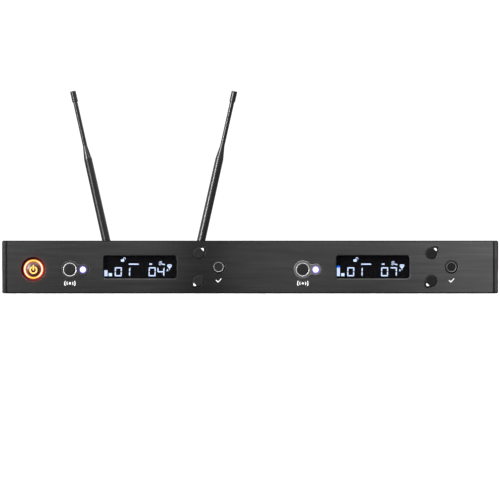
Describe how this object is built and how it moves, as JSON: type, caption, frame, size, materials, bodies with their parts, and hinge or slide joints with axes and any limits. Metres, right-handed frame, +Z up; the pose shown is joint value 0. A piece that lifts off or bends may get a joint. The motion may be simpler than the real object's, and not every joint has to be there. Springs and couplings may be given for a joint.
{
  "type": "wireless receiver",
  "caption": "Rack-height wireless microphone receiver with twin displays, push buttons and tilting whip antennas at the back.",
  "frame": {"origin": "centre of the tray's flat underside, halfway across and halfway back", "axes": "+X to the right seen from the front, the front faces -Y, +Z up"},
  "size_m": [0.42, 0.2328, 0.1839],
  "materials": {
    "anodised_front": "brushed, dark grey anodised",
    "grey_bezel": "satin grey",
    "bright_ring": "polished",
    "case_paint": "fine-textured black powder coat",
    "black_screw": "black oxide",
    "zinc_steel": "bright zinc",
    "tinplate": "plain tinplate",
    "nickel": "nickel plate",
    "contact_gold": "gold flash",
    "button_black": "gloss black",
    "antenna_black": "satin black",
    "moulded_black": "matt black",
    "display_window": "smoked clear",
    "display_unit": "black with lit characters",
    "lamp_lens": "clear, lit",
    "lit_ring": "translucent, lit",
    "circuit_board": "green solder mask",
    "chip_black": "matt",
    "ribbon_grey": "flat cable",
    "coax_black": "matt"
  },
  "bodies": {
    "root": {"base_tray": "case_paint", "bnc_jacks": "nickel", "board_components": "chip_black", "board_standoffs": "zinc_steel", "bushing_nuts": "nickel", "coax_leads": "coax_black", "connector_screws": "black_screw", "control_board": "circuit_board", "cover_screws": "black_screw", "display_lens_left": "display_window", "display_lens_right": "display_window", "display_module_left": "display_unit", "display_module_right": "display_unit", "ear_nuts": "zinc_steel", "end_cap_left": "anodised_front", "end_cap_right": "anodised_front", "front_panel": "anodised_front", "inner_screws": "zinc_steel", "jack_socket": "moulded_black", "main_board": "circuit_board", "output_socket_1": "moulded_black", "output_socket_2": "moulded_black", "output_socket_pins": "contact_gold", "power_bezel": "button_black", "power_inlet": "moulded_black", "power_light_ring": "lit_ring", "power_switch": "moulded_black", "ribbon_cable": "ribbon_grey", "sync_bezel_left": "grey_bezel", "sync_bezel_right": "grey_bezel", "sync_lamp_left": "lamp_lens", "sync_lamp_right": "lamp_lens", "sync_ring_left": "bright_ring", "sync_ring_right": "bright_ring", "tact_switches": "moulded_black", "top_cover": "case_paint", "tuner_shields": "tinplate"},
    "power_button": {"power_button": "button_black"},
    "sync_button_left": {"sync_button_left": "button_black"},
    "up_button_left": {"up_button_left": "button_black"},
    "down_button_left": {"down_button_left": "button_black"},
    "set_button_left": {"set_button_left": "button_black", "set_ring_left": "bright_ring"},
    "sync_button_right": {"sync_button_right": "button_black"},
    "up_button_right": {"up_button_right": "button_black"},
    "down_button_right": {"down_button_right": "button_black"},
    "set_button_right": {"set_button_right": "button_black", "set_ring_right": "bright_ring"},
    "bayonet_collar_left": {"bayonet_collar_left": "nickel"},
    "antenna_base_left": {"antenna_base_left": "antenna_black", "hinge_pin_left": "nickel"},
    "whip_left": {"whip_knuckle_left": "antenna_black", "whip_sheath_left": "antenna_black", "whip_tip_left": "antenna_black"},
    "bayonet_collar_right": {"bayonet_collar_right": "nickel"},
    "antenna_base_right": {"antenna_base_right": "antenna_black", "hinge_pin_right": "nickel"},
    "whip_right": {"whip_knuckle_right": "antenna_black", "whip_sheath_right": "antenna_black", "whip_tip_right": "antenna_black"}
  },
  "joints": [
    {"name": "power_button_press", "type": "slide", "parent": "root", "child": "power_button", "axis": [0, 1, 0], "range_m": [0, 0.002], "stiffness_N_per_m": 500, "springref_m": -0.001},
    {"name": "sync_button_left_press", "type": "slide", "parent": "root", "child": "sync_button_left", "axis": [0, 1, 0], "range_m": [0, 0.0006], "stiffness_N_per_m": 500, "springref_m": -0.001},
    {"name": "up_button_left_press", "type": "slide", "parent": "root", "child": "up_button_left", "axis": [0, 1, 0], "range_m": [0, 0.0006], "stiffness_N_per_m": 500, "springref_m": -0.001},
    {"name": "down_button_left_press", "type": "slide", "parent": "root", "child": "down_button_left", "axis": [0, 1, 0], "range_m": [0, 0.0006], "stiffness_N_per_m": 500, "springref_m": -0.001},
    {"name": "set_button_left_press", "type": "slide", "parent": "root", "child": "set_button_left", "axis": [0, 1, 0], "range_m": [0, 0.0006], "stiffness_N_per_m": 500, "springref_m": -0.001},
    {"name": "sync_button_right_press", "type": "slide", "parent": "root", "child": "sync_button_right", "axis": [0, 1, 0], "range_m": [0, 0.0006], "stiffness_N_per_m": 500, "springref_m": -0.001},
    {"name": "up_button_right_press", "type": "slide", "parent": "root", "child": "up_button_right", "axis": [0, 1, 0], "range_m": [0, 0.0006], "stiffness_N_per_m": 500, "springref_m": -0.001},
    {"name": "down_button_right_press", "type": "slide", "parent": "root", "child": "down_button_right", "axis": [0, 1, 0], "range_m": [0, 0.0006], "stiffness_N_per_m": 500, "springref_m": -0.001},
    {"name": "set_button_right_press", "type": "slide", "parent": "root", "child": "set_button_right", "axis": [0, 1, 0], "range_m": [0, 0.0006], "stiffness_N_per_m": 500, "springref_m": -0.001},
    {"name": "bayonet_collar_left_turn", "type": "hinge", "parent": "root", "child": "bayonet_collar_left", "pos_m": [-0.1276, 0.105, 0.0224], "axis": [0, 1, 0], "range_deg": [0, 90]},
    {"name": "antenna_swivel_left", "type": "hinge", "parent": "root", "child": "antenna_base_left", "pos_m": [-0.1276, 0.112, 0.0224], "axis": [0, 1, 0], "range_deg": [-77.4, 22.6]},
    {"name": "whip_tilt_left", "type": "hinge", "parent": "antenna_base_left", "child": "whip_left", "pos_m": [-0.1276, 0.1229, 0.0224], "axis": [-0.9759, 0, -0.2181], "range_deg": [0, 90]},
    {"name": "bayonet_collar_right_turn", "type": "hinge", "parent": "root", "child": "bayonet_collar_right", "pos_m": [-0.0504, 0.105, 0.0224], "axis": [0, 1, 0], "range_deg": [0, 90]},
    {"name": "antenna_swivel_right", "type": "hinge", "parent": "root", "child": "antenna_base_right", "pos_m": [-0.0504, 0.112, 0.0224], "axis": [0, 1, 0], "range_deg": [-22.6, 77.4]},
    {"name": "whip_tilt_right", "type": "hinge", "parent": "antenna_base_right", "child": "whip_right", "pos_m": [-0.0504, 0.1229, 0.0224], "axis": [-0.9759, 0, 0.2181], "range_deg": [0, 90]}
  ]
}
